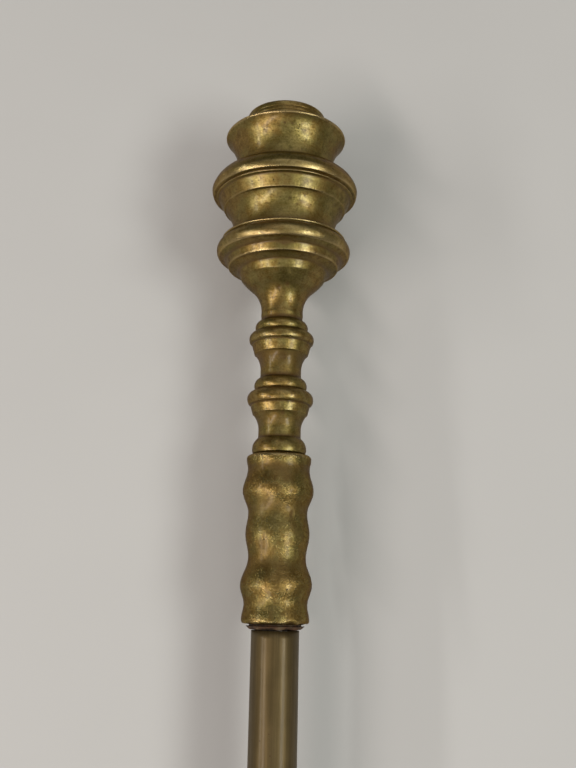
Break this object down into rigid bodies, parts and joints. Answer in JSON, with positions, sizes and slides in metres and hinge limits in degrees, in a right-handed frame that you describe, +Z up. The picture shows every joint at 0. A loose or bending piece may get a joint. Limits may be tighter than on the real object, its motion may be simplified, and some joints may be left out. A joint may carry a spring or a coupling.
{
  "type": "boat hook",
  "caption": "One-handed boat hook: a turned brass baluster handle with a ringed knob, a slim round metal shaft, and a ball-tipped prong with a back hook.",
  "frame": {"origin": "on the surface that the hook lies on, below the middle of its bounding box", "axes": "+Y runs along the shaft from the hook to the knob, +X is the side that the hook opens to, +Z is up; the axis rises by 0.73 degrees towards the knob, as the hook rests on the widest ring of its knob and on its two ball tips"},
  "size_m": [0.0884, 1.0002, 0.0428],
  "materials": {
    "aged_brass": "cast and turned brass with an olive and brown patina, satin, with small casting pits",
    "worn_brass": "the same brass, rubbed brighter by the hand",
    "brown_brass": "smooth drawn brass tube, darkened brown, with fine rubbing marks",
    "steel": "plain steel",
    "rusty_iron": "rough iron with dark brown rust"
  },
  "bodies": {
    "root": {"finial_cap": "aged_brass", "clamp_nut": "steel", "nut_washer": "steel", "knob_top_ring": "aged_brass", "knob_middle_ring": "aged_brass", "knob_bowl": "aged_brass", "upper_baluster": "aged_brass", "lower_baluster": "aged_brass", "grip": "worn_brass", "grip_sleeve": "rusty_iron", "core_rod": "steel", "shaft_casing": "brown_brass", "hook_head": "aged_brass", "socket_rivet_1": "brown_brass", "socket_rivet_2": "brown_brass"}
  },
  "joints": []
}
